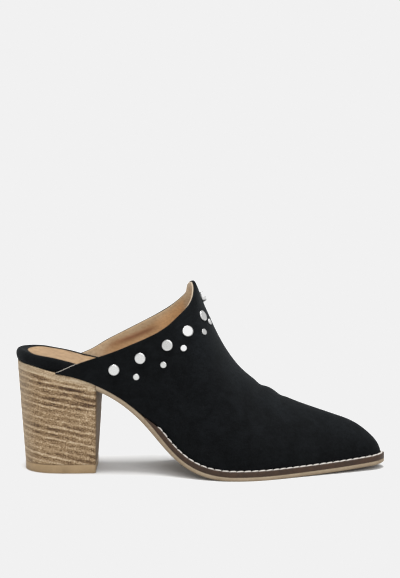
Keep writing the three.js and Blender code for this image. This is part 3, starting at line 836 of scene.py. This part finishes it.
def stackFinish():
    paint = Paint("stackedLeather", Specular_IOR_Level=0.25)
    place = paint.place()
    along = paint.attribute("along")
    wander = paint.noise(paint.vector(along * 75, paint.attribute("layer") * 0.7, 3.1), 1.0, 3, 0.55)
    layer = paint.attribute("layer") + (wander - 0.5) * 0.42
    depth = paint.attribute("depth")
    nearest = paint.math("ROUND", layer)
    index = paint.math("FLOOR", layer)
    fromJoint = paint.math("ABSOLUTE", layer - nearest) * heelLook["pitch"]
    speckle = paint.noise(place, 1350, 2, 0.8)
    fibres = paint.noise(paint.vector(along * 210, layer * 8, index * 2.3), 1.0, 3, 0.7)
    streaks = paint.noise(paint.vector(along * 80, layer * 3.4, index * 3.7), 1.0, 3, 0.6, 0.6)
    wide = paint.noise(paint.vector(along * 24, layer * 0.35, 5.0), 1.0, 2, 0.5)
    drift = paint.noise(place, 60, 2, 0.5)
    upperHalf = 1 - paint.ramp(layer, 5, 9.5)
    patchy = paint.noise(paint.vector(along * 20, nearest * 7.7, 0.5), 1.0, 2, 0.6)
    strength = 0.45 + 0.55 * paint.ramp(patchy, 0.36, 0.6)
    dark = paint.ramp(streaks * 0.55 + wide * 0.45, 0.46, 0.66) * paint.ramp(fromJoint, 0.3, 1.3)
    tone = 0.5 + 1.8 * (speckle - 0.5) + 0.9 * (fibres - 0.5) - dark * (0.3 + 0.14 * upperHalf)
    tone = tone + heelLook["mottle"] * (drift - 0.5)
    tone = tone + 0.28 * strength * (1 - paint.ramp(fromJoint, 0.2, 1.2)) - 0.03 * upperHalf
    atSeat = 1 - paint.ramp(depth, 3.9, 4.2)
    tone = tone + 0.2 * (1 - paint.ramp(paint.math("ABSOLUTE", depth - 4.3), 0.1, 0.6)) + 0.2 * atSeat
    stops = [(share, linear(rgb)) for share, rgb in heelLook["tones"]]
    colour = paint.node("ShaderNodeValToRGB", {"stops": stops}, {0: tone})
    colour = paint.blend(atSeat * 0.3, colour, linear(heelLook["seatLayer"]))
    # painted light: the back of the heel is lighter
    colour = paint.blend(paint.attribute("back") * 0.35, colour, linear(heelLook["backLitTone"]))
    # darker breast: its own darker leather and painted shade
    colour = paint.blend(paint.attribute("front") * 0.85, colour, linear(heelLook["breastShadeTone"]))
    height = speckle * 0.4 + fibres * 0.5 + paint.ramp(fromJoint, 0.0, 0.3) * 0.5
    return paint.set(Base_Color=colour, Roughness=0.62 + 0.2 * speckle,
        Normal=paint.bump(height, 0.35, 0.0004))


heelPoints, heelAlong, heelLayers, heelDepths = heelMesh()
breastShadeMap = np.tile(np.arange(heelLayers.shape[1]) > lastSideLine, (heelLook["rows"], 1))
backLitMap = 1 - ease(3, 16, heelPoints[..., 0])
heelMaps = {"layer": heelLayers, "along": heelAlong / 1000, "depth": heelDepths, "front": breastShadeMap,
    "back": backLitMap}
stackedHeel = makePiece("stackedHeel", heelPoints, tubeFaces(heelPoints, flip=True), stackFinish(),
    heelMaps, ["heel"])

topPieceLook = {"light": (168, 143, 108), "dark": (145, 121, 89), "round": 0.45}


def topPieceMesh():
    points = []
    profile = [(0.0, topPieceLook["round"]), (0.12, 0.13), (topPieceLook["round"], 0.0)]
    profile += [(heelLook["topPiece"] - z, inset) for z, inset in reversed(profile)]
    for z, inset in profile:
        ring = heelRing(0.0, inset)
        x = ring[:, 0] - inset * ease(50, 55, ring[:, 0])
        points.append(np.stack([x, ring[:, 1], np.full(len(ring), z)], -1))
    return np.array(points)


liftPoints = topPieceMesh()
faces = tubeFaces(liftPoints, flip=True)
rubber = leatherFinish("topPieceRubber", topPieceLook, poreScale=900, creaseScale=60, strength=0.15,
    roughness=0.6, Specular_IOR_Level=0.3)
makePiece("heelTopPiece", liftPoints, faces, rubber, replaces=["top_piece"])
print("heel:", len(stackedHeel.data.polygons), "faces")

outsoleLook = {
    # share of the thickness, inset
    "edge": [(0, 0.5), (0.08, 0.2), (0.2, 0.04), (0.5, 0.0), (0.93, 0.0), (1, 0.15)],
    "start": 54.4,
    "light": (166, 149, 125),
    "dark": (139, 121, 98),
    # painted shade towards the underside of the sole's edge
    "lowEdgeShade": (128, 104, 74),
    "joint": 85.0,  # x of the line where the forepart's leather starts
    "jointTone": (96, 72, 48),
    "topRows": 7,
    "bottomRows": 15,
}


def outsoleRings():
    rings = []
    for x in stations(outsoleLook["start"], length, 300):
        up, inset = np.array(outsoleLook["edge"]).T
        sides = []
        for side in (outer, inner):
            px, py = outline(side, np.full(len(up), x), inset)
            thick = soleThickness(px) - np.maximum(0, lap(px) - 0.35)
            sides.append(np.stack([px, py, level(px, thick * up)], -1))
        top = acrossRow(sides[0][-1], sides[1][-1], outsoleLook["topRows"])
        bottom = acrossRow(sides[1][0], sides[0][0], outsoleLook["bottomRows"])
        rings.append(np.concatenate([sides[0], top, sides[1][::-1], bottom]))
    return np.array(rings)


def outsoleFinish():
    paint = Paint("soleLeather", Specular_IOR_Level=0.35)
    place = paint.place()
    fibres = paint.noise(paint.stretched(place, (350, 350, 2600)), 1.0, 3, 0.65)
    clouds = paint.noise(place, 90, 3, 0.6, 0.3)
    colour = paint.blend(paint.ramp(fibres * 0.6 + clouds * 0.4, 0.32, 0.7), linear(outsoleLook["dark"]),
        linear(outsoleLook["light"]))
    # painted shade: darker towards the underside
    colour = paint.blend((1 - paint.ramp(paint.attribute("height"), 0.25, 0.55)) * 0.3, colour,
        linear(outsoleLook["lowEdgeShade"]))
    colour = paint.blend(paint.attribute("joint") * 0.6, colour, linear(outsoleLook["jointTone"]))
    return paint.set(Base_Color=colour, Roughness=0.55 + 0.2 * clouds, Normal=paint.bump(fibres, 0.2, 0.0003))


rings = outsoleRings()
edgeUp = [up for up, _ in outsoleLook["edge"]]
ringUp = edgeUp + [1] * outsoleLook["topRows"] + edgeUp[::-1] + [0] * outsoleLook["bottomRows"]
heightMap = np.tile(ringUp, (len(rings), 1))
jointMap = np.exp(-((rings[..., 0] - outsoleLook["joint"] - 0.4 * rings[..., 2] * 0.1) / 0.3)**2)
faces = tubeFaces(rings, 1)
makePiece("outsoleLeather", rings, faces, outsoleFinish(),
    {"height": heightMap, "joint": jointMap}, ["outsole"])

weltLook = {  # the strip round the sole and its stitches
    "start": 87.0,
    "light": (70, 49, 34),
    "dark": (50, 35, 24),
    "thread": (240, 234, 228),
    "threadShade": (168, 158, 142),
    "stitchPitch": 4.9,
    "stitchLength": 5.05,
    "stitchRadius": 0.48,
    "stitchInset": 1.6,
    "stitchFrom": 94.5,
    "slant": 5,  # degrees, along the welt
    "lift": 0.2,  # how far the front end of each stitch stands above its middle
}


def weltRing(side, x):  # a closed section of the welt at x
    low = float(soleThickness(x)) + sole["gap"] * 0.2
    high = float(soleThickness(x) + weltHeight(x)) + sole["gap"]
    width = float(featherInset(x)) + last["wall"] - 0.3
    corners = [(0, low), (width, low), (width, high), (0, high)]
    profile = []
    for k, corner in enumerate(corners):
        radius = min(0.35 if k in (0, 3) else 0.1, (high - low) * 0.45)
        profile += roundCorner(corner, corners[k - 1], corners[(k + 1) % 4], radius)
    inset, h = np.array(profile).T
    px, py = outline(side, np.full(len(inset), x), inset)
    return np.stack([px, py, level(px, h)], -1)


weltX = stations(weltLook["start"], length, 240)
rings = np.array([weltRing(outer, x) for x in weltX] + [weltRing(inner, x) for x in weltX[-2::-1]])
faces = tubeFaces(rings)
weltLeather = leatherFinish("weltLeather", weltLook, poreScale=1400, creaseScale=220, strength=0.3,
    roughness=0.55, Specular_IOR_Level=0.25)
makePiece("weltStrip", rings, faces, weltLeather, replaces=["welt"])


def stitchPath():
    x = stations(weltLook["stitchFrom"], length, 900)
    parts = []
    for side in (outer, inner):
        px, py = outline(side, x, weltLook["stitchInset"])
        pz = level(px, soleThickness(px) + sole["gap"] + weltHeight(px))
        parts.append(np.stack([px, py, pz], -1))
    return np.concatenate([parts[0], parts[1][-2::-1]])


def stitchMeshes():
    path = stitchPath()
    along = np.concatenate([[0], np.cumsum(np.linalg.norm(np.diff(path, axis=0), axis=1))])
    count = int(along[-1] // weltLook["stitchPitch"])
    rng = np.random.default_rng(11)
    points, faces = [], []
    turns, steps = 8, 9
    halfLength = weltLook["stitchLength"] / 2
    for k in range(count):
        centre = (k + 0.5) * along[-1] / count + rng.uniform(-0.12, 0.12)
        tilt = math.radians(weltLook["slant"] + rng.uniform(-4, 4))
        reach = np.linspace(-1, 1, steps)
        places = centre + reach * halfLength * math.cos(tilt)
        spots = np.stack([np.interp(places, along, path[:, a]) for a in range(3)], -1)
        tangent = spots[-1] - spots[0]
        tangent /= np.linalg.norm(tangent)
        across = np.cross(tangent, [0, 0, 1])
        across /= np.linalg.norm(across)
        up = np.cross(across, tangent)
        taper = np.sqrt(np.clip(1 - np.abs(reach)**3.2, 0.05, 1))
        thick = weltLook["stitchRadius"] * taper * rng.uniform(0.93, 1.06)
        aside = reach * math.sin(tilt) * halfLength
        raised = 0.3 - 0.25 * np.abs(reach)**3 + weltLook["lift"] * reach
        spots = spots + across * aside[:, None] + up * raised[:, None]
        angles = np.arange(turns) / turns * 2 * math.pi
        spokes = np.cos(angles)[None, :, None] * across + np.sin(angles)[None, :, None] * up * 0.9
        ring = spots[:, None] + thick[:, None, None] * spokes
        base = sum(len(p) for p in points)
        points.append(ring.reshape(-1, 3))
        faces += (gridFaces(steps, turns) + base).tolist()
        faces += [[base + a for a in cap] for cap in caps(steps, turns)]
    return np.concatenate(points), faces


def threadFinish():
    paint = Paint("weltThread", Specular_IOR_Level=0.3, Roughness=0.7)
    place = paint.place()
    twist = paint.node("ShaderNodeTexWave", {"wave_type": "BANDS", "bands_direction": "DIAGONAL"},
        {"Vector": place, "Scale": 700, "Distortion": 1.5, "Detail": 1})
    colour = paint.blend(paint.math("MULTIPLY", twist, 0.35), linear(weltLook["thread"]),
        linear(weltLook["threadShade"]))
    return paint.set(Base_Color=colour, Normal=paint.bump(twist, 0.4, 0.0002))


points, faces = stitchMeshes()
makePiece("weltStitches", points, faces, threadFinish())
print("outsole, welt and", len(faces) // 66, "stitches")

studLook = {
    # share of the radius, share of the height
    "profile": [(0, 0), (0.97, 0), (1.0, 0.15), (1.0, 0.6), (0.96, 0.86), (0.9, 0.97), (0.8, 1.0), (0.6, 1.0),
        (0.4, 1.0), (0.2, 1.0), (0, 1.0)],
    "segments": 40,
    "large": {"radius": 3.65, "height": 1.3},
    "small": {"radius": 2.1, "height": 1.0},
    "ridgeTall": 2.6,  # the stud on the ridge stands higher
    "sunk": 0.35,  # how far the seat of each stud lies in the suede
    "metal": (234, 234, 233),
    "scuffed": (200, 200, 199),
}


def studFinish():
    paint = Paint("studMetal", Metallic=1.0)
    place = paint.place()
    brushed = paint.noise(place, 1800, 3, 0.6)
    dents = paint.noise(place, 260, 2, 0.5)
    colour = paint.blend(paint.ramp(brushed, 0.35, 0.7) * 0.25, linear(studLook["metal"]),
        linear(studLook["scuffed"]))
    return paint.set(Base_Color=colour, Roughness=0.2 + 0.16 * brushed,
        Normal=paint.bump(dents * 0.7 + brushed * 0.3, 0.06, 0.0004))


def studMesh(names, size):
    flatNet, flatNormals = net.reshape(-1, 3), normals.reshape(-1, 3)
    points, faces = [], []
    profile = np.array(studLook["profile"]) * [size["radius"], size["height"]]
    angles = np.arange(studLook["segments"]) / studLook["segments"] * 2 * math.pi
    for name in names:
        low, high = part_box(name)
        centre = np.array((low + high) / 2) * 1000 - shift
        nearest = np.argmin(np.linalg.norm(flatNet - centre, axis=1))
        normal = flatNormals[nearest]
        seat = centre - normal * (size["height"] / 2 + studLook["sunk"])
        tall = studLook["ridgeTall"] if name == "stud_ridge" else 1
        a = np.cross(normal, [0, 0, 1])
        a /= np.linalg.norm(a)
        b = np.cross(normal, a)
        spokes = np.cos(angles)[:, None] * a + np.sin(angles)[:, None] * b
        rings = [seat + normal * h * tall + r * spokes for r, h in profile[1:-1]]
        base = sum(len(p) for p in points)
        points.append(np.concatenate([*rings, [seat], [seat + normal * profile[-1][1] * tall]]))
        count = len(angles)
        faces += (gridFaces(len(rings), count)[:, ::-1] + base).tolist()
        bottom, crown = base + len(rings) * count, base + len(rings) * count + 1
        lastRing = base + (len(rings) - 1) * count
        for k in range(count):
            faces += [[bottom, base + k, base + (k + 1) % count],
                [crown, lastRing + (k + 1) % count, lastRing + k]]
    return np.concatenate(points), faces


studMetal = studFinish()
for size, starts in (("large", ("stud_large", "stud_ridge")), ("small", ("stud_small",))):
    names = sorted(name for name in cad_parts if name.startswith(starts))
    points, faces = studMesh(names, studLook[size])
    makePiece(size + "Studs", points, faces, studMetal, replaces=names)
print("studs placed")

stageLook = {  # floor and lights
    "floor": 0.6,
    "world": 1.05,
    "white": 0.88,  # the brightest tone of the finished picture
    "size": 30.0,
    "overhead": {"power": 3.8, "spread": 32, "rise": 86, "turn": -95},
    "front": {"power": 1.45, "spread": 38, "rise": 35, "turn": -79},
}

world = bpy.data.worlds.new("studio")
bpy.context.scene.world = world
world.use_nodes = True
background = world.node_tree.nodes["Background"].inputs
background["Color"].default_value = (1, 1, 1, 1)
background["Strength"].default_value = stageLook["world"]


def makeFloor():
    tone = stageLook["floor"]
    paint = Paint("paleFloor", Roughness=0.9, Specular_IOR_Level=0.0, Base_Color=(tone, tone, tone, 1))
    mesh = bpy.data.meshes.new("floor")
    r = stageLook["size"]
    mesh.from_pydata([(-r, -r, 0), (r, -r, 0), (r, r, 0), (-r, r, 0)], [], [(0, 1, 2, 3)])
    mesh.materials.append(paint.material)
    newObject("floor", mesh)


def addSun(name):  # a broad soft light from its rise above the floor and its turn about the shoe
    look = stageLook[name]
    data = bpy.data.lights.new(name, "SUN")
    data.energy, data.angle = look["power"], math.radians(look["spread"])
    rise, turn = math.radians(look["rise"]), math.radians(look["turn"])
    toLight = Vector((math.cos(turn) * math.cos(rise), math.sin(turn) * math.cos(rise), math.sin(rise)))
    light = newObject(name, data)
    light.rotation_mode = "QUATERNION"
    light.rotation_quaternion = toLight.to_track_quat("Z", "Y")


makeFloor()
addSun("overhead")
addSun("front")

view = bpy.context.scene.view_settings
view.view_transform = "Standard"
view.use_curve_mapping = True
mapping = view.curve_mapping
mapping.extend = "HORIZONTAL"
mapping.curves[3].points[-1].location = (1, stageLook["white"])
for point in mapping.curves[3].points:
    point.handle_type = "VECTOR"
mapping.update()

cameraLook = {"rise": 6.955, "turn": 0.623, "distance": 1360.7, "aim": (123.46, 0, 121.05), "lens": 126.7}

camera = newObject("camera", bpy.data.cameras.new("camera"))
rise, turn = math.radians(cameraLook["rise"]), math.radians(cameraLook["turn"])
forward = Vector((math.sin(turn) * math.cos(rise), math.cos(turn) * math.cos(rise), -math.sin(rise)))
aim = Vector((np.array(cameraLook["aim"]) + shift) / 1000)
camera.location = aim - forward * cameraLook["distance"] / 1000
camera.rotation_mode = "QUATERNION"
camera.rotation_quaternion = forward.to_track_quat("-Z", "Y")
camera.data.lens, camera.data.sensor_width = cameraLook["lens"], 36
camera.data.clip_start, camera.data.clip_end = 0.01, 100
bpy.context.scene.camera = camera
print("stage ready")
